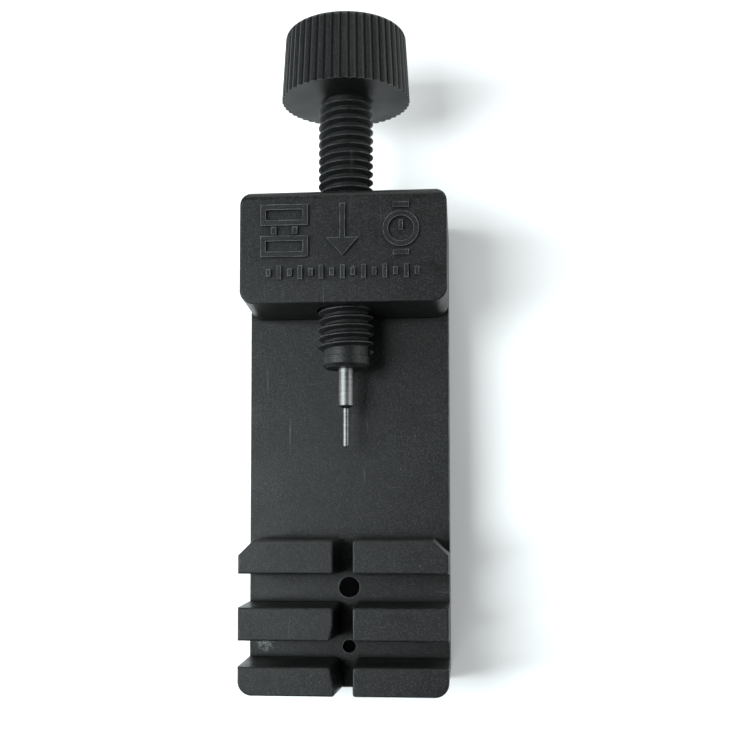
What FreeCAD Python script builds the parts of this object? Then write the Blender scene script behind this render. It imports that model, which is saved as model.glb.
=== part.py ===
import FreeCAD, Part
import math
import os

import Sketcher
from FreeCAD import Placement, Rotation, Vector

# Bracelet link-pin remover: a moulded base with a threaded head block and three rows of teeth, a thumb
# screw with a ridged knob, and a stepped steel driver pin in the screw's nose.
# Each sub-part is drawn in its own coordinates. The base has X across, Y from the teeth (0) towards the
# knob and Z up from the surface it stands on. The screw and the pin stand on the screw's front end, with
# Z along their axis. Placements then put all three on an origin below the centre of the whole tool.

# Driving dimensions in millimetres and degrees: alias, value, meaning
DIMENSIONS = [
    ("base_width", 30.2, "base width at the foot"),
    ("base_length", 72.0, "base length at the foot"),
    ("platform_height", 11.6, "height of the bay and slot floors"),
    ("total_height", 23.0, "height of the head and the teeth"),
    ("wall_draft", 1.0, "draft of the outer walls"),
    ("slot_draft", 1.2, "draft of the walls of the bay, slots and groove"),
    ("corner_radius", 2.0, "plan radius of the base and head corners"),
    ("back_radius", 1.3, "rounding of the head's upper back edge"),
    ("edge_radius", 0.25, "small rounding of the other top edges"),
    ("bay_front", 22.0, "front of the bay, at the top"),
    ("bay_back", 55.4, "back of the bay, at the top"),
    ("slot_one_front", 12.6, "front of the wide slot, at the top"),
    ("slot_one_back", 17.3, "back of the wide slot, at the top"),
    ("slot_two_front", 4.4, "front of the narrow slot, at the top"),
    ("slot_two_back", 8.0, "back of the narrow slot, at the top"),
    ("groove_width", 2.8, "width of the lengthwise groove, at the top"),
    ("groove_skew", 0.65, "how far the groove's left wall swings out and back near the front"),
    ("tooth_bevel", 2.15, "bevel on the outer corners of the tooth row at the bay"),
    ("tooth_round", 0.4, "plan radius of the teeth's inner corners"),
    ("large_hole", 1.55, "radius of the drop hole in the wide slot"),
    ("small_hole", 1.0, "radius of the drop hole in the narrow slot"),
    ("floor_thickness", 2.4, "platform thickness over the hollow underside"),
    ("skirt_thickness", 2.2, "thickness of the skirt around the hollow underside"),
    ("rib_thickness", 1.6, "thickness of the ribs under the platform"),
    ("first_rib", 23.0, "position of the first cross rib"),
    ("rib_spacing", 16.3, "distance between cross ribs"),
    ("relief_height", 0.45, "height of the raised marks on the head"),
    ("relief_line", 0.75, "line width of the raised marks, and their grid"),
    ("relief_row", 65.7, "middle of the row of raised marks, along Y"),
    ("scale_row", 59.7, "middle of the row of raised strokes, along Y"),
    ("axis_height", 17.3, "height of the screw axis"),
    ("thread_radius", 4.0, "outer radius of the M8 thread"),
    ("root_radius", 3.23, "root radius of the screw's thread"),
    ("thread_pitch", 1.25, "pitch of the thread"),
    ("thread_start", 0.85, "start of the screw's thread, behind the nose"),
    ("stem_turns", 29, "turns of thread on the screw"),
    ("head_turns", 16, "turns of thread in the head, past both of its mouths"),
    ("tooth_foot", 0.55, "half the axial width of the thread's tooth at its foot"),
    ("tooth_crest", 0.125, "half the axial width of the thread's tooth near its crest"),
    ("crest_bevel", 0.1, "height of the bevels on the thread's crest"),
    ("tooth_sink", 0.15, "how far the thread's tooth is sunk into the core"),
    ("thread_gap", 0.12, "clearance between the screw and the thread in the head"),
    ("bore_bevel", 0.7, "bevel on both mouths of the threaded bore"),
    ("nose_radius", 3.45, "radius of the plain nose of the screw"),
    ("nose_length", 1.55, "length of the plain nose"),
    ("nose_bevel", 0.5, "bevel on the nose"),
    ("nose_position", 46.8, "front end of the nose, from the front of the base"),
    ("stem_length", 39.45, "length of the screw from the nose to the knob"),
    ("knob_radius", 9.4, "knob radius over the ridges at the stem side"),
    ("knob_end_radius", 8.8, "knob radius over the ridges at the free end"),
    ("knob_length", 10.1, "knob length"),
    ("knob_rounding", 1.1, "rounding of the knob's outer rim"),
    ("ridge_count", 48, "number of ridges around the knob"),
    ("ridge_depth", 0.38, "depth of the valleys between the ridges"),
    ("ridge_radius", 0.687, "radius of the rounded ridges"),
    ("valley_share", 0.98, "share of the knob's rim that the valleys take"),
    ("dish_radius", 6.2, "radius of the shallow dish in the knob's end"),
    ("dish_depth", 0.8, "depth of that dish"),
    ("pin_radius", 1.1, "radius of the driver pin's shank"),
    ("pin_gap", 0.05, "radial clearance of the pin in the screw"),
    ("pin_root", 8.0, "length of shank held inside the screw"),
    ("pin_bevel", 0.2, "bevel on the pin's inner end; the tip has half of it"),
    ("pin_shank", 5.4, "length of shank in front of the screw"),
    ("pin_shoulder", 0.4, "length of the cone between shank and tip"),
    ("tip_radius", 0.45, "radius of the thin tip"),
    ("tip_length", 5.6, "length of the thin tip"),
]

VALUES = {alias: value for alias, value, meaning in DIMENSIONS}
LEFT = "-(base_width / 2 + 3)"
RIGHT = "base_width / 2 + 3"


def driven(expression):
    """An expression in the sheet's aliases, written out for the document."""
    words = expression.replace("(", "( ").replace(")", " )").split()
    return " ".join("dims." + word if word in VALUES else word for word in words)


def make_sheet(doc):
    """The spreadsheet that drives every sketch and feature."""
    sheet = doc.addObject("Spreadsheet::Sheet", "dims")
    for row, (alias, value, meaning) in enumerate(DIMENSIONS, start=1):
        sheet.set(f"A{row}", meaning)
        sheet.set(f"B{row}", str(value))
        sheet.setAlias(f"B{row}", alias)


def make_body(doc, label):
    """A PartDesign body whose label names its file."""
    body = doc.addObject("PartDesign::Body", label)
    body.Label = label
    return body


def new_sketch(body, name, role="XY_Plane", height=None):
    """An empty sketch on one of the body's origin planes, moved along the plane's normal by height."""
    plane = next(f for f in body.Origin.OriginFeatures if f.Role == role)
    sketch = body.newObject("Sketcher::SketchObject", name)
    sketch.AttachmentSupport = [(plane, "")]
    sketch.MapMode = "FlatFace"
    if height is not None:
        sketch.setExpression(".AttachmentOffset.Base.z", driven(height))
    return sketch


def bind(sketch, kind, expression, *elements, start=1.0):
    """Adds a dimension to a sketch and drives it from the sheet."""
    index = sketch.addConstraint(Sketcher.Constraint(kind, *elements, start))
    sketch.setExpression(f"Constraints[{index}]", driven(expression))


def place_point(sketch, element, point, position, start=(1.0, 1.0)):
    """Drives a point of a sketch element from two expressions, measured from the sketch's origin."""
    for kind, axis, expression, value in zip(("DistanceX", "DistanceY"), (-2, -1), position, start):
        if expression == "0":
            sketch.addConstraint(Sketcher.Constraint("PointOnObject", element, point, axis))
        else:
            bind(sketch, kind, expression, -1, 1, element, point, start=value)


def add_outline(sketch, points):
    """A closed outline of straight lines through points, each a pair of expressions."""
    count = len(points)
    angles = [2 * math.pi * n / count for n in range(count)]
    rough = [Vector(math.cos(angle), math.sin(angle)) for angle in angles]
    lines = [sketch.addGeometry(Part.LineSegment(rough[n], rough[(n + 1) % count])) for n in range(count)]
    for n, line in enumerate(lines):
        sketch.addConstraint(Sketcher.Constraint("Coincident", line, 2, lines[(n + 1) % count], 1))
        place_point(sketch, line, 1, points[n])


def add_rectangle(sketch, low_x, low_y, high_x, high_y):
    """A rectangle whose sides are driven by expressions."""
    add_outline(sketch, [(low_x, low_y), (high_x, low_y), (high_x, high_y), (low_x, high_y)])


def add_circle(sketch, x, y, radius):
    """A circle whose centre and radius are driven by expressions."""
    circle = sketch.addGeometry(Part.Circle(Vector(1, 1, 0), Vector(0, 0, 1), 1))
    place_point(sketch, circle, 3, (x, y))
    bind(sketch, "Radius", radius, circle)


def add_feature(body, kind, name, sketch, grows, **settings):
    """A feature made from a sketch. Settings that are text are expressions. It has to add to the body's
    volume if grows is true, and cut from it if not, so a feature that points the wrong way is noticed."""
    doc = body.Document
    before = body.Tip.Shape.Volume if body.Tip else 0.0
    feature = body.newObject("PartDesign::" + kind, name)
    feature.Profile = sketch
    for key, value in settings.items():
        if isinstance(value, str):
            feature.setExpression(key, driven(value))
        else:
            setattr(feature, key, value)
    doc.recompute()
    body.Tip = feature
    change = feature.Shape.Volume - before
    if change == 0 or (change > 0) != grows:
        raise RuntimeError(f"{name} changed the volume by {change:.3f}")
    return feature


def dress(body, kind, name, base, chosen, expression):
    """A fillet or chamfer on the edges of the base feature that chosen() accepts."""
    edges = [f"Edge{n}" for n, edge in enumerate(base.Shape.Edges, start=1) if chosen(edge)]
    if not edges:
        raise RuntimeError(f"{name} found no edge")
    feature = body.newObject("PartDesign::" + kind, name)
    feature.Base = (base, edges)
    feature.setExpression("Radius" if kind == "Fillet" else "Size", driven(expression))
    body.Document.recompute()
    body.Tip = feature
    return feature


def upright(edge):
    """True for a nearly vertical edge longer than half the teeth's height."""
    box = edge.BoundBox
    return box.ZLength > 5 and math.hypot(box.XLength, box.YLength) < 0.1 * box.ZLength


def near(edge, x, y, reach=1.0):
    """True if the edge's middle lies within reach of this |x| and this y."""
    centre = edge.BoundBox.Center
    return abs(abs(centre.x) - x) < reach and abs(centre.y - y) < reach


def cut_top(body, name, points):
    """A pocket with drafted walls from the top plane down to the platform."""
    sketch = new_sketch(body, name + "_sketch", height="total_height")
    add_outline(sketch, points)
    depth = "total_height - platform_height"
    return add_feature(body, "Pocket", name, sketch, False, Length=depth, TaperAngle="- slot_draft")


def rectangle_points(front, back):
    """The corners of a cut right across the base, between two expressions along Y."""
    return [(LEFT, front), (RIGHT, front), (RIGHT, back), (LEFT, back)]


def cut_teeth(body):
    """The bay, the two cross slots and the lengthwise groove, which leave the head and six teeth."""
    cut_top(body, "bay", rectangle_points("bay_front", "bay_back"))
    cut_top(body, "wide_slot", rectangle_points("slot_one_front", "slot_one_back"))
    cut_top(body, "narrow_slot", rectangle_points("slot_two_front", "slot_two_back"))
    wall = "groove_width / 2"
    return cut_top(
        body,
        "groove",
        [
            (wall, "- 2"),
            (wall, "bay_front + 2"),
            ("- " + wall, "bay_front + 2"),
            ("- " + wall, "slot_two_back + 2"),
            (f"- {wall} - groove_skew", "slot_two_back - 1"),
            (f"- {wall} - groove_skew", "slot_two_front + 1"),
            (f"- {wall} + groove_skew", "- 1"),
            (f"- {wall} + groove_skew", "- 2"),
        ],
    )


def round_edges(body, groove):
    """Rounds the corners in plan, bevels the row at the bay and softens the top edges."""
    half = VALUES["base_width"] / 2
    bay_front, bay_back = VALUES["bay_front"], VALUES["bay_back"]

    def at_row(edge):
        return upright(edge) and near(edge, half, bay_front)

    def at_head(edge):
        return upright(edge) and near(edge, half, bay_back)

    def at_groove(edge):
        centre = edge.BoundBox.Center
        return upright(edge) and abs(centre.x) < VALUES["groove_width"] and centre.y < bay_front + 1

    bevel = dress(body, "Chamfer", "row_bevel", groove, at_row, "tooth_bevel")
    head = dress(body, "Fillet", "head_corners", bevel, at_head, "corner_radius")
    return dress(body, "Fillet", "teeth_corners", head, at_groove, "tooth_round")


def round_head_back(body):
    """Rounds the head's upper back edge with a cut whose arc meets the top and the drafted back wall."""
    sketch = new_sketch(body, "back_round_sketch", "YZ_Plane")
    draft = "wall_draft * 1 deg"
    centre = f"base_length - ( total_height - back_radius ) * tan( {draft} ) - back_radius / cos( {draft} )"
    low = (f"{centre} + back_radius * cos( {draft} )", f"total_height - back_radius * ( 1 - sin( {draft} ) )")
    angle = math.radians(VALUES["wall_draft"])
    height, radius = VALUES["total_height"], VALUES["back_radius"]
    middle = VALUES["base_length"] - (height - radius) * math.tan(angle) - radius / math.cos(angle)
    top_start = Vector(middle, height)
    low_start = Vector(middle + radius * math.cos(angle), height - radius * (1 - math.sin(angle)))
    crown = Vector(middle, height - radius) + Vector(1, 1).normalize() * radius
    right, over = low_start.x + 3, height + 1
    corners = [low_start, Vector(right, low_start.y), Vector(right, over), Vector(middle, over)]
    places = [
        low,
        (low[0] + " + 3", low[1]),
        (low[0] + " + 3", "total_height + 1"),
        (centre, "total_height + 1"),
    ]
    ends = corners[1:] + [top_start]
    lines = [sketch.addGeometry(Part.LineSegment(a, b)) for a, b in zip(corners, ends)]
    for line, place, start in zip(lines, places, corners):
        place_point(sketch, line, 1, place, (start.x, start.y))
    place_point(sketch, lines[-1], 2, (centre, "total_height"), (top_start.x, top_start.y))
    for line, following in zip(lines, lines[1:]):
        sketch.addConstraint(Sketcher.Constraint("Coincident", line, 2, following, 1))
    arc = sketch.addGeometry(Part.Arc(top_start, crown, low_start))
    first_is_top = sketch.getPoint(arc, 1).x < sketch.getPoint(arc, 2).x
    sketch.addConstraint(Sketcher.Constraint("Coincident", arc, 1 if first_is_top else 2, lines[-1], 2))
    sketch.addConstraint(Sketcher.Constraint("Coincident", arc, 2 if first_is_top else 1, lines[0], 1))
    bind(sketch, "Radius", "back_radius", arc, start=radius)
    return add_feature(body, "Pocket", "back_round", sketch, False, Midplane=True, Length="base_width + 4")


def soften_top(body):
    """Small roundings on the teeth's and the head's top edges."""
    top, head_middle = VALUES["total_height"], VALUES["scale_row"]

    def at_top(edge):
        return edge.BoundBox.ZMin > top - 0.01 and edge.BoundBox.YMax < head_middle

    return dress(body, "Fillet", "top_edges", body.Tip, at_top, "edge_radius")


def raise_marks(body):
    """Plain raised marks on the head: two links, an arrow along the pin's travel, a watch, and a row of
    strokes. They are laid out on a grid of one line width."""
    sketch = new_sketch(body, "marks_sketch", height="total_height - 0.1")

    def across(x):
        return f"{x} * relief_line"

    def along(y, row="relief_row"):
        return f"{row} + {y} * relief_line"

    def bar(low_x, low_y, high_x, high_y, row="relief_row"):
        add_rectangle(sketch, across(low_x), along(low_y, row), across(high_x), along(high_y, row))

    for low in (-5, 1):
        bar(-15.5, low, -6.5, low + 4)
        bar(-14.5, low + 1, -7.5, low + 3)
    for side in (-13.5, -9.5):
        bar(side, -0.7, side + 1, 0.7)
    arrow = [(-0.5, 5), (0.5, 5), (0.5, -1.5), (3, -1.5), (0, -5), (-3, -1.5), (-0.5, -1.5)]
    add_outline(sketch, [(across(x), along(y)) for x, y in arrow])
    for radius in (3.4, 2.4):
        add_circle(sketch, across(11), along(0), across(radius))
    for low in (-5, 4):
        bar(9.5, low, 12.5, low + 1)
    bar(10.6, -0.4, 11.4, 1.6)
    for stroke in range(-7, 8):
        reach = 0.7 if stroke % 2 else 1.3
        bar(2 * stroke - 0.4, -reach, 2 * stroke + 0.4, reach, "scale_row")
    return add_feature(body, "Pad", "marks", sketch, True, Length="relief_height + 0.1")


def hollow_underside(body):
    """Four cavities under the platform, with cross ribs between them and a rib along the middle."""
    side = "( base_width / 2 - skirt_thickness )"
    sketch = new_sketch(body, "cavity_sketch")
    fronts = ["skirt_thickness"] + [f"first_rib + {n} * rib_spacing + rib_thickness" for n in range(3)]
    backs = [f"first_rib + {n} * rib_spacing" for n in range(3)] + ["base_length - skirt_thickness"]
    for front, back in zip(fronts, backs):
        add_rectangle(sketch, "- " + side, front, side, back)
    settings = {"Length": "platform_height - floor_thickness", "TaperAngle": "- wall_draft", "Reversed": True}
    add_feature(body, "Pocket", "cavities", sketch, False, **settings)
    rib = new_sketch(body, "rib_sketch")
    half = "rib_thickness / 2"
    add_rectangle(rib, "- " + half, "first_rib", half, "base_length - skirt_thickness / 2")
    return add_feature(body, "Pad", "middle_rib", rib, True, Length="platform_height - floor_thickness / 2")


def drop_holes(body):
    """The holes in the slot floors that pins are driven down through."""
    sketch = new_sketch(body, "drop_hole_sketch", height="platform_height + 1")
    add_circle(sketch, "0", "( slot_one_front + slot_one_back ) / 2", "large_hole")
    add_circle(sketch, "0", "( slot_two_front + slot_two_back ) / 2", "small_hole")
    return add_feature(body, "Pocket", "drop_holes", sketch, False, Length="floor_thickness + 2")


def add_thread(body, kind, name, sketch_height, axis_position, gap, turns, grows):
    """A right-hand thread from a tooth outline beside the sketch's vertical axis. The outline starts at
    axis_position along the axis, and gap widens it all round for an internal thread."""
    role = "XZ_Plane" if sketch_height is None else "XY_Plane"
    sketch = new_sketch(body, name + "_sketch", role, sketch_height)
    half_root = f"( tooth_foot + {gap} / 2 )"
    half_crest = f"( tooth_crest + {gap} / 2 )"
    shoulder = f"thread_radius - crest_bevel + {gap}"
    crest = f"thread_radius + {gap}"
    root = f"root_radius - tooth_sink + {gap}"
    add_outline(
        sketch,
        [
            (root, f"{axis_position} - {half_root}"),
            (shoulder, f"{axis_position} - {half_crest}"),
            (crest, f"{axis_position} - {half_crest} / 2"),
            (crest, f"{axis_position} + {half_crest} / 2"),
            (shoulder, f"{axis_position} + {half_crest}"),
            (root, f"{axis_position} + {half_root}"),
        ],
    )
    return add_feature(
        body,
        kind,
        name,
        sketch,
        grows,
        ReferenceAxis=(sketch, ["V_Axis"]),
        Mode=0,
        Pitch="thread_pitch",
        Height=f"{turns} * thread_pitch",
    )


def bore_head(body):
    """The threaded bore through the head, in mesh with the screw."""
    sketch = new_sketch(body, "bore_sketch", "XZ_Plane", "- ( bay_back - 4 )")
    add_circle(sketch, "0", "axis_height", "nose_radius + thread_gap")
    bore = add_feature(body, "Pocket", "bore", sketch, False, Length="base_length - bay_back + 8")
    width = 2 * (VALUES["nose_radius"] + VALUES["thread_gap"])

    def at_mouth(edge):
        return abs(edge.BoundBox.XLength - width) < 0.1 and abs(edge.BoundBox.ZLength - width) < 0.1

    dress(body, "Chamfer", "bore_lead_in", bore, at_mouth, "bore_bevel")
    start = "nose_position + nose_length + thread_start + 3 * thread_pitch"
    kind, turns = "SubtractiveHelix", "head_turns"
    return add_thread(body, kind, "head_thread", "axis_height", start, "thread_gap", turns, False)


def make_base(doc):
    """The one-piece moulded base."""
    body = make_body(doc, "base_body")
    outline = new_sketch(body, "foot_outline")
    add_rectangle(outline, "- base_width / 2", "0", "base_width / 2", "base_length")
    block = add_feature(body, "Pad", "block", outline, True, Length="total_height", TaperAngle="- wall_draft")
    dress(body, "Fillet", "block_corners", block, upright, "corner_radius")
    groove = cut_teeth(body)
    round_edges(body, groove)
    round_head_back(body)
    soften_top(body)
    raise_marks(body)
    hollow_underside(body)
    drop_holes(body)
    bore_head(body)
    return body


def make_pin(doc):
    """The stepped driver pin, from its root inside the screw to its thin tip."""
    body = make_body(doc, "driver_pin")
    sketch = new_sketch(body, "pin_outline", "XZ_Plane")
    end = "- pin_shank - pin_shoulder - tip_length"
    add_outline(
        sketch,
        [
            ("0", end),
            ("tip_radius - pin_bevel / 2", end),
            ("tip_radius", end + " + pin_bevel / 2"),
            ("tip_radius", "- pin_shank - pin_shoulder"),
            ("pin_radius", "- pin_shank"),
            ("pin_radius", "pin_root - pin_bevel"),
            ("pin_radius - pin_bevel", "pin_root"),
            ("0", "pin_root"),
        ],
    )
    add_feature(body, "Revolution", "pin", sketch, True, ReferenceAxis=(sketch, ["V_Axis"]), Angle=360)
    return body


def make_screw(doc):
    """The thumb screw: bored nose, threaded stem and ridged knob."""
    body = make_body(doc, "thumb_screw")
    sketch = new_sketch(body, "screw_outline", "XZ_Plane")
    bore = "pin_radius + pin_gap"
    knob_end = "stem_length + knob_length"
    add_outline(
        sketch,
        [
            ("0", "pin_root + 2 * pin_gap"),
            (bore, "pin_root + 2 * pin_gap"),
            (bore, "0"),
            ("nose_radius - nose_bevel", "0"),
            ("nose_radius", "nose_bevel"),
            ("nose_radius", "nose_length"),
            ("root_radius", "nose_length + tooth_sink"),
            ("root_radius", "stem_length"),
            ("knob_radius", "stem_length"),
            ("knob_end_radius", knob_end),
            ("dish_radius", knob_end),
            ("dish_radius - dish_depth / 2", knob_end + " - dish_depth"),
            ("0", knob_end + " - dish_depth"),
        ],
    )
    settings = {"ReferenceAxis": (sketch, ["V_Axis"]), "Angle": 360}
    turned = add_feature(body, "Revolution", "turned", sketch, True, **settings)
    top = VALUES["stem_length"] + VALUES["knob_length"]

    def at_rim(edge):
        box = edge.BoundBox
        return box.ZMin > top - 0.01 and box.XLength > 2 * VALUES["dish_radius"] + 1

    dress(body, "Fillet", "knob_rim", turned, at_rim, "knob_rounding")
    ridge_knob(body)
    start = "nose_length + thread_start"
    add_thread(body, "AdditiveHelix", "stem_thread", None, start, "0", "stem_turns", True)
    return body


def ridge_knob(body):
    """Straight rounded ridges around the knob, made by one valley repeated in a polar pattern."""
    sketch = new_sketch(body, "valley_sketch", height="stem_length")
    half_turn = "( 180 / ridge_count * valley_share )"
    crest_x = f"knob_radius * cos( {half_turn} )"
    crest_y = f"knob_radius * sin( {half_turn} )"
    radius, depth = VALUES["knob_radius"], VALUES["ridge_depth"]
    half_angle = math.radians(180 / VALUES["ridge_count"] * VALUES["valley_share"])
    crest = Vector(radius * math.cos(half_angle), radius * math.sin(half_angle))
    outside = Vector(radius + 1, crest.y)
    bottom = Vector(radius - depth, 0)
    chord = crest - bottom
    bulge = VALUES["ridge_radius"] - math.sqrt(VALUES["ridge_radius"] ** 2 - (chord.Length / 2) ** 2)
    middle = (bottom + crest) / 2 + Vector(chord.y, -chord.x).normalize() * bulge

    def mirrored(point):
        return Vector(point.x, -point.y)

    upper = sketch.addGeometry(Part.LineSegment(crest, outside))
    lower = sketch.addGeometry(Part.LineSegment(mirrored(crest), mirrored(outside)))
    outer = sketch.addGeometry(Part.LineSegment(outside, mirrored(outside)))
    for line, point, expressions, start in (
        (upper, 1, (crest_x, crest_y), crest),
        (upper, 2, ("knob_radius + 1", crest_y), outside),
        (lower, 1, (crest_x, "- " + crest_y), mirrored(crest)),
        (lower, 2, ("knob_radius + 1", "- " + crest_y), mirrored(outside)),
    ):
        place_point(sketch, line, point, expressions, (start.x, start.y))
    sketch.addConstraint(Sketcher.Constraint("Coincident", outer, 1, upper, 2))
    sketch.addConstraint(Sketcher.Constraint("Coincident", outer, 2, lower, 2))
    arcs = [
        sketch.addGeometry(Part.Arc(bottom, middle, crest)),
        sketch.addGeometry(Part.Arc(bottom, mirrored(middle), mirrored(crest))),
    ]
    low_ends = []
    for arc, line in zip(arcs, (upper, lower)):
        first_is_low = abs(sketch.getPoint(arc, 1).y) < abs(sketch.getPoint(arc, 2).y)
        low_ends.append((arc, 1 if first_is_low else 2))
        sketch.addConstraint(Sketcher.Constraint("Coincident", arc, 2 if first_is_low else 1, line, 1))
        bind(sketch, "Radius", "ridge_radius", arc, start=VALUES["ridge_radius"])
    place_point(sketch, *low_ends[0], ("knob_radius - ridge_depth", "0"), (bottom.x, 0))
    sketch.addConstraint(Sketcher.Constraint("Coincident", *low_ends[0], *low_ends[1]))
    fall = VALUES["knob_radius"] - VALUES["knob_end_radius"]
    valley_cut = add_feature(
        body,
        "Pocket",
        "valley",
        sketch,
        False,
        UseCustomVector=True,
        Direction=Vector(-fall, 0, VALUES["knob_length"]),
        Length="knob_length + 1",
    )
    pattern = body.newObject("PartDesign::PolarPattern", "ridges")
    pattern.Originals = [valley_cut]
    pattern.Axis = (sketch, ["N_Axis"])
    pattern.Angle = 360
    pattern.setExpression("Occurrences", driven("ridge_count"))
    body.Document.recompute()
    body.Tip = pattern
    return pattern


def place(bodies):
    """Puts the origin below the centre of the whole tool, and the screw and pin on the screw's axis."""
    centre = "( nose_position + stem_length + knob_length ) / 2"
    base, screw, pin = bodies
    base.setExpression(".Placement.Base.y", driven("- " + centre))
    for body in (screw, pin):
        body.Placement = Placement(Vector(), Rotation(Vector(0, 0, 1), Vector(0, 1, 0)))
        body.setExpression(".Placement.Base.y", driven(f"nose_position - {centre}"))
        body.setExpression(".Placement.Base.z", driven("axis_height"))


def check(doc, bodies):
    """Stops unless every object is up to date and every sub-part is one valid solid."""
    for item in doc.Objects:
        if "Invalid" in item.State or "Error" in item.State:
            raise RuntimeError(f"{item.Name} is {item.State}")
    for body in bodies:
        shape = body.Shape
        if shape.isNull() or not shape.isValid() or len(shape.Solids) != 1:
            raise RuntimeError(f"{body.Label} isn't one valid solid")
        box = shape.BoundBox
        print(f"{body.Label}: {shape.Volume:.1f} mm3, Y {box.YMin:.2f} to {box.YMax:.2f}, top {box.ZMax:.2f}")


def main():
    doc = FreeCAD.newDocument("link_pin_remover")
    make_sheet(doc)
    doc.recompute()
    bodies = [make_base(doc), make_screw(doc), make_pin(doc)]
    place(bodies)
    doc.recompute()
    check(doc, bodies)
    os.makedirs("parts", exist_ok=True)
    for body in bodies:
        body.Shape.exportStep(f"parts/{body.Label}.step")


main()
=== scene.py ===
import math

import bpy
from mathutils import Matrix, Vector


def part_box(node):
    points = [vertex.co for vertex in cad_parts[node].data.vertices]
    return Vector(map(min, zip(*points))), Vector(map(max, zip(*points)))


# Look and lighting of the bracelet link-pin remover. The three CAD pieces keep their shape, and get moulded
# black plastic or brushed steel made from nodes. Lengths are in metres, in the part's own frame: X across,
# Y from the teeth towards the knob and Z up from the floor.

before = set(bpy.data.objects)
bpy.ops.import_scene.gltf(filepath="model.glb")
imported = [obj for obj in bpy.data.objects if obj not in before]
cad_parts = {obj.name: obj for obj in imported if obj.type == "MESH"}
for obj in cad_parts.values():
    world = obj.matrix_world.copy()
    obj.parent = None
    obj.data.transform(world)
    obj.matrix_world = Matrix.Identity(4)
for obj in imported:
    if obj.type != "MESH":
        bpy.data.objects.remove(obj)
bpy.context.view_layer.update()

MM = 0.001
PLATFORM_HEIGHT = 11.6 * MM  # the floor of the bay and the slots

# The camera looks down on the tool from above its right half, a little from the right and the front
CAMERA_PLACE = Vector((13.81, -25.02, 176.41)) * MM
CAMERA_TILT = (3.316, 4.808, -0.007)
CAMERA_LENS = 53.11
CAMERA_SHIFT = (0.0348, 0.1236)

# Lights: name, place, point aimed at, width, height, power in watts, colour
LIGHTS = [
    ("window", (-0.28, -0.02, 0.33), (0.0, 0.0, 0.01), 0.18, 0.46, 3.7, (0.92, 0.99, 1.0)),
    ("back_wall", (0.25, 0.80, 0.35), (0.0, 0.0, 0.0), 1.20, 0.50, 6.5, (0.98, 1.0, 1.0)),
    ("right_wall", (0.85, 0.10, 0.36), (0.0, 0.0, 0.0), 0.60, 0.50, 4.4, (0.98, 1.0, 1.0)),
    ("overhead", (-0.09, -0.34, 0.44), (0.0, -0.03, 0.0), 0.16, 0.16, 0.36, (0.92, 0.99, 1.0)),
]
SKY = (0.93, 0.96, 1.0)
SKY_STRENGTH = 0.10

FLOOR_COLOUR = (0.86, 0.87, 0.87, 1)
FLOOR_ROUGHNESS = 0.75
FLOOR_HALF_WIDTH = 6.0

# Brushed steel: the dark and light ends of its rings, and its pits
STEEL_DARK = (0.09, 0.09, 0.091, 1)
STEEL_LIGHT = (0.16, 0.16, 0.16, 1)
STEEL_PITS = (0.08, 0.08, 0.08, 1)


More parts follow.
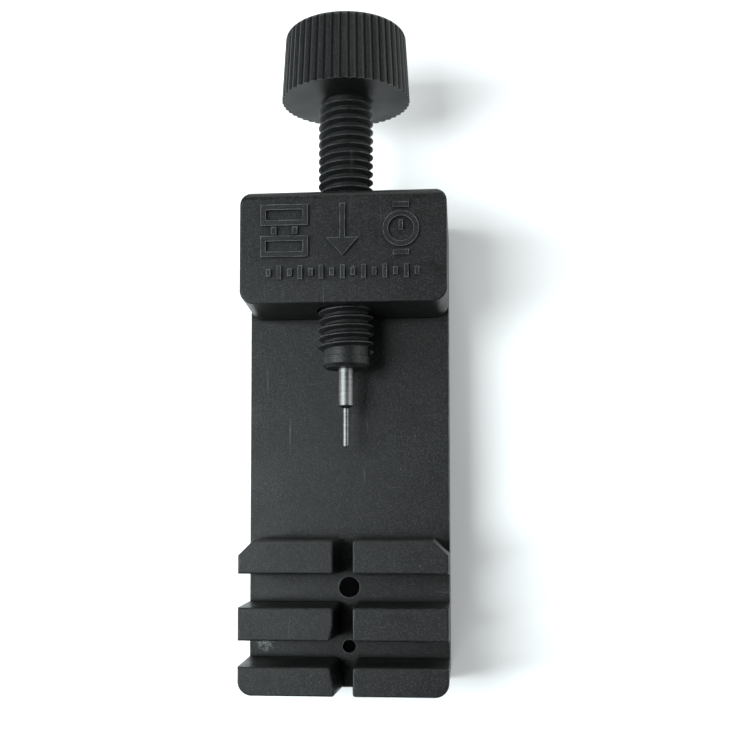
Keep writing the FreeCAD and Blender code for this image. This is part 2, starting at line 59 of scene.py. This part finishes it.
class Material:
    """A node material: each call adds a node and returns the output that is used."""

    def __init__(self, name):
        self.data = bpy.data.materials.new(name)
        self.data.use_nodes = True
        self.tree = self.data.node_tree
        self.shader = self.tree.nodes["Principled BSDF"]
        self.place = self.add("ShaderNodeTexCoord").outputs["Object"]

    def add(self, kind, **settings):
        node = self.tree.nodes.new(kind)
        for key, value in settings.items():
            setattr(node, key, value)
        return node

    def feed(self, target, value):
        """Links an output to a socket, or sets the socket's own value."""
        if isinstance(value, bpy.types.NodeSocket):
            self.tree.links.new(value, target)
        else:
            target.default_value = value

    def scaled(self, factors):
        """The object's coordinates, stretched along each axis."""
        node = self.add("ShaderNodeMapping")
        self.feed(node.inputs["Vector"], self.place)
        node.inputs["Scale"].default_value = factors
        return node.outputs["Vector"]

    def noise(self, scale, detail=2.0, roughness=0.5, distortion=0.0, vector=None):
        node = self.add("ShaderNodeTexNoise")
        self.feed(node.inputs["Vector"], vector or self.place)
        node.inputs["Scale"].default_value = scale
        node.inputs["Detail"].default_value = detail
        node.inputs["Roughness"].default_value = roughness
        node.inputs["Distortion"].default_value = distortion
        return node.outputs["Fac"]

    def specks(self, scale, radius, share_bare):
        """Small irregular specks, one in each cell but for a share of bare cells."""
        cells = self.add("ShaderNodeTexVoronoi")
        self.feed(cells.inputs["Vector"], self.place)
        cells.inputs["Scale"].default_value = scale
        parts = self.add("ShaderNodeSeparateColor")
        self.feed(parts.inputs["Color"], cells.outputs["Color"])
        ragged = self.math("MULTIPLY", self.noise(scale=3000), radius * 1.6)
        distance = self.math("ADD", cells.outputs["Distance"], ragged)
        spot = self.ramp(distance, radius * 0.8, radius * 1.8, 1.0, 0.0)
        return self.math("MULTIPLY", spot, self.ramp(parts.outputs["Red"], share_bare, 1.0))

    def openness(self, reach):
        """1 on open faces, falling to 0 deep in corners narrower than reach."""
        node = self.add("ShaderNodeAmbientOcclusion", samples=8, only_local=True)
        node.inputs["Distance"].default_value = reach
        return node.outputs["AO"]

    def ramp(self, value, low, high, out_low=0.0, out_high=1.0):
        """Maps low..high smoothly onto out_low..out_high."""
        node = self.add("ShaderNodeMapRange", interpolation_type="SMOOTHSTEP")
        self.feed(node.inputs["Value"], value)
        for key, number in zip(("From Min", "From Max", "To Min", "To Max"), (low, high, out_low, out_high)):
            node.inputs[key].default_value = number
        return node.outputs["Result"]

    def math(self, operation, first, second=0.0):
        node = self.add("ShaderNodeMath", operation=operation)
        self.feed(node.inputs[0], first)
        self.feed(node.inputs[1], second)
        return node.outputs["Value"]

    def mix(self, share, first, second):
        """A colour between first and second."""
        node = self.add("ShaderNodeMix", data_type="RGBA")
        self.feed(node.inputs["Factor"], share)
        self.feed(node.inputs["A"], first)
        self.feed(node.inputs["B"], second)
        return node.outputs["Result"]

    def edges(self, radius, low=0.02, high=0.25):
        """A mask that is 1 on edges narrower than radius and 0 on flat faces."""
        bevel = self.add("ShaderNodeBevel", samples=6)
        bevel.inputs["Radius"].default_value = radius
        geometry = self.add("ShaderNodeNewGeometry")
        dot = self.add("ShaderNodeVectorMath", operation="DOT_PRODUCT")
        self.feed(dot.inputs[0], bevel.outputs["Normal"])
        self.feed(dot.inputs[1], geometry.outputs["Normal"])
        return self.ramp(self.math("SUBTRACT", 1.0, dot.outputs["Value"]), low, high)

    def near_point(self, point, reach):
        """A soft spot: 1 at a point of the object and 0 beyond reach."""
        node = self.add("ShaderNodeVectorMath", operation="DISTANCE")
        self.feed(node.inputs[0], self.place)
        node.inputs[1].default_value = point
        return self.ramp(node.outputs["Value"], 0.0, reach, 1.0, 0.0)

    def bump(self, height, strength, distance, below=None):
        node = self.add("ShaderNodeBump")
        self.feed(node.inputs["Height"], height)
        node.inputs["Strength"].default_value = strength
        node.inputs["Distance"].default_value = distance
        if below is not None:
            self.feed(node.inputs["Normal"], below)
        return node.outputs["Normal"]

    def finish(self, **sockets):
        for key, value in sockets.items():
            self.feed(self.shader.inputs[key.replace("_", " ")], value)
        return self.data


def grey(level):
    """A near-neutral, slightly cool colour."""
    return (level * 0.93, level, level * 1.01, 1.0)


def scratch_lines(m):
    """Sparse fine scratches, some along the tool and some across it."""
    along = m.noise(scale=1, detail=3, distortion=0.4, vector=m.scaled((1400, 70, 300)))
    across = m.noise(scale=1, detail=3, distortion=0.6, vector=m.scaled((90, 1500, 300)))
    return m.math("MAXIMUM", m.ramp(along, 0.69, 0.76), m.ramp(across, 0.71, 0.78))


def moulded_plastic(name, tone, roughness, gloss, wear_and_highlight, edge_radius, spots=()):
    """Black moulded plastic with spark-eroded grain, cloudy tone, painted shade and more roughness in
    corners, scratches, edges lightened partly as rubbed wear and partly as a painted highlight, and dust.
    Each spot is a pale smudge: a point, its reach and its strength."""
    m = Material(name)
    clouds = m.noise(scale=150, detail=6, roughness=0.62)
    grain = m.noise(scale=5200, detail=2, roughness=0.9)
    colour = m.mix(m.ramp(clouds, 0.3, 0.7), grey(tone * 0.75), grey(tone * 1.3))
    colour = m.mix(m.ramp(grain, 0.48, 0.68), colour, grey(tone * 10.0))

    # Painted shade: the colour darkens deep in corners and crevices, which are also made rougher.
    corners = m.ramp(m.openness(0.9 * MM), 0.55, 0.95, 1.0, 0.0)
    colour = m.mix(m.math("MULTIPLY", corners, 0.7), colour, grey(tone * 0.4))

    scratches = m.math("MULTIPLY", scratch_lines(m), m.ramp(clouds, 0.42, 0.62))
    colour = m.mix(m.math("MULTIPLY", scratches, 0.3), colour, grey(0.12))

    # Edges lightened in patches, partly real rubbed wear and partly a painted highlight on convex edges.
    patches = m.ramp(m.noise(scale=700, detail=4, roughness=0.65), 0.35, 0.6, 0.3, 1.0)
    rubbed_and_highlit = m.math("MULTIPLY", m.edges(edge_radius), patches)
    rubbed_and_highlit = m.math("MULTIPLY", rubbed_and_highlit, m.math("SUBTRACT", 1.0, corners))
    colour = m.mix(m.math("MULTIPLY", rubbed_and_highlit, wear_and_highlight), colour, grey(0.20))

    dust = m.specks(scale=640, radius=0.05, share_bare=0.80)
    colour = m.mix(m.math("MULTIPLY", dust, 0.6), colour, grey(0.5))
    for point, reach, strength in spots:
        mottle = m.ramp(m.noise(scale=1500, detail=5, roughness=0.7), 0.42, 0.62)
        smudge = m.math("MULTIPLY", m.near_point(point, reach), mottle)
        colour = m.mix(m.math("MULTIPLY", smudge, strength), colour, grey(0.5))

    spread = 0.06
    rough = m.ramp(clouds, 0.3, 0.7, roughness - spread, roughness + spread)
    rough = m.math("ADD", rough, m.math("MULTIPLY", corners, 0.35))
    rough = m.math("SUBTRACT", rough, m.math("MULTIPLY", rubbed_and_highlit, 0.08))
    normal = m.bump(grain, 0.6, 0.06 * MM)
    normal = m.bump(m.noise(scale=420, detail=3), 0.3, 0.06 * MM, normal)
    normal = m.bump(scratches, 0.3, 0.01 * MM, normal)
    m.shader.distribution = "GGX"
    return m.finish(Base_Color=colour, Roughness=rough, Normal=normal, Specular_IOR_Level=gloss)


def brushed_steel(name):
    """Turned steel wire: fine rings round the pin, small pits and a slightly dulled tone."""
    m = Material(name)
    rings = m.noise(scale=1, detail=4, roughness=0.6, vector=m.scaled((250, 3600, 250)))
    pits = m.noise(scale=1900, detail=5, roughness=0.7)
    colour = m.mix(m.ramp(rings, 0.35, 0.65), STEEL_DARK, STEEL_LIGHT)
    colour = m.mix(m.ramp(pits, 0.56, 0.72, 0.0, 0.55), colour, STEEL_PITS)
    rough = m.ramp(rings, 0.3, 0.7, 0.36, 0.50)
    normal = m.bump(rings, 0.4, 0.012 * MM)
    normal = m.bump(pits, 0.25, 0.02 * MM, normal)
    return m.finish(Base_Color=colour, Roughness=rough, Normal=normal, Metallic=1.0)


def dress_node(node, material):
    """Gives a CAD node its material."""
    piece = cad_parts[node]
    piece.data.materials.clear()
    piece.data.materials.append(material)


def make_floor():
    """A plain pale floor, wide enough for every view."""
    half = FLOOR_HALF_WIDTH
    mesh = bpy.data.meshes.new("floor")
    corners = [(-half, -half, 0), (half, -half, 0), (half, half, 0), (-half, half, 0)]
    mesh.from_pydata(corners, [], [(0, 1, 2, 3)])
    floor = bpy.data.objects.new("floor", mesh)
    bpy.context.scene.collection.objects.link(floor)
    m = Material("floor")
    mesh.materials.append(m.finish(Base_Color=FLOOR_COLOUR, Roughness=FLOOR_ROUGHNESS))


def make_light(name, place, aim, width, height, power, colour):
    data = bpy.data.lights.new(name, "AREA")
    data.shape = "RECTANGLE"
    data.size, data.size_y = width, height
    data.energy = power
    data.color = colour
    lamp = bpy.data.objects.new(name, data)
    lamp.location = place
    lamp.rotation_euler = (Vector(aim) - Vector(place)).to_track_quat("-Z", "Y").to_euler()
    bpy.context.scene.collection.objects.link(lamp)


def make_world():
    world = bpy.data.worlds.new("studio")
    world.use_nodes = True
    background = world.node_tree.nodes["Background"]
    background.inputs["Color"].default_value = (*SKY, 1)
    background.inputs["Strength"].default_value = SKY_STRENGTH
    bpy.context.scene.world = world


def make_camera():
    data = bpy.data.cameras.new("camera")
    data.lens = CAMERA_LENS
    data.shift_x, data.shift_y = CAMERA_SHIFT
    data.clip_start, data.clip_end = 0.01, 20.0
    camera = bpy.data.objects.new("camera", data)
    camera.location = CAMERA_PLACE
    camera.rotation_euler = [math.radians(angle) for angle in CAMERA_TILT]
    bpy.context.scene.collection.objects.link(camera)
    bpy.context.scene.camera = camera


# A pale smudge lies on the narrow slot's floor, left of the groove
base_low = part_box("base_body")[0]
smudge_place = (base_low.x + 2.6 * MM, base_low.y + 6.6 * MM, PLATFORM_HEIGHT)
smudge = (smudge_place, 1.6 * MM, 0.5)

base_plastic = moulded_plastic(
    "base_plastic", tone=0.0026, roughness=0.38, gloss=0.22, wear_and_highlight=0.8, edge_radius=0.22 * MM, spots=[smudge]
)
screw_plastic = moulded_plastic(
    "screw_plastic", tone=0.0026, roughness=0.42, gloss=0.22, wear_and_highlight=0.8, edge_radius=0.12 * MM
)
dress_node("base_body", base_plastic)
dress_node("thumb_screw", screw_plastic)
dress_node("driver_pin", brushed_steel("pin_steel"))

make_floor()
for light in LIGHTS:
    make_light(*light)
make_world()
make_camera()
bpy.context.scene.view_settings.view_transform = "Standard"
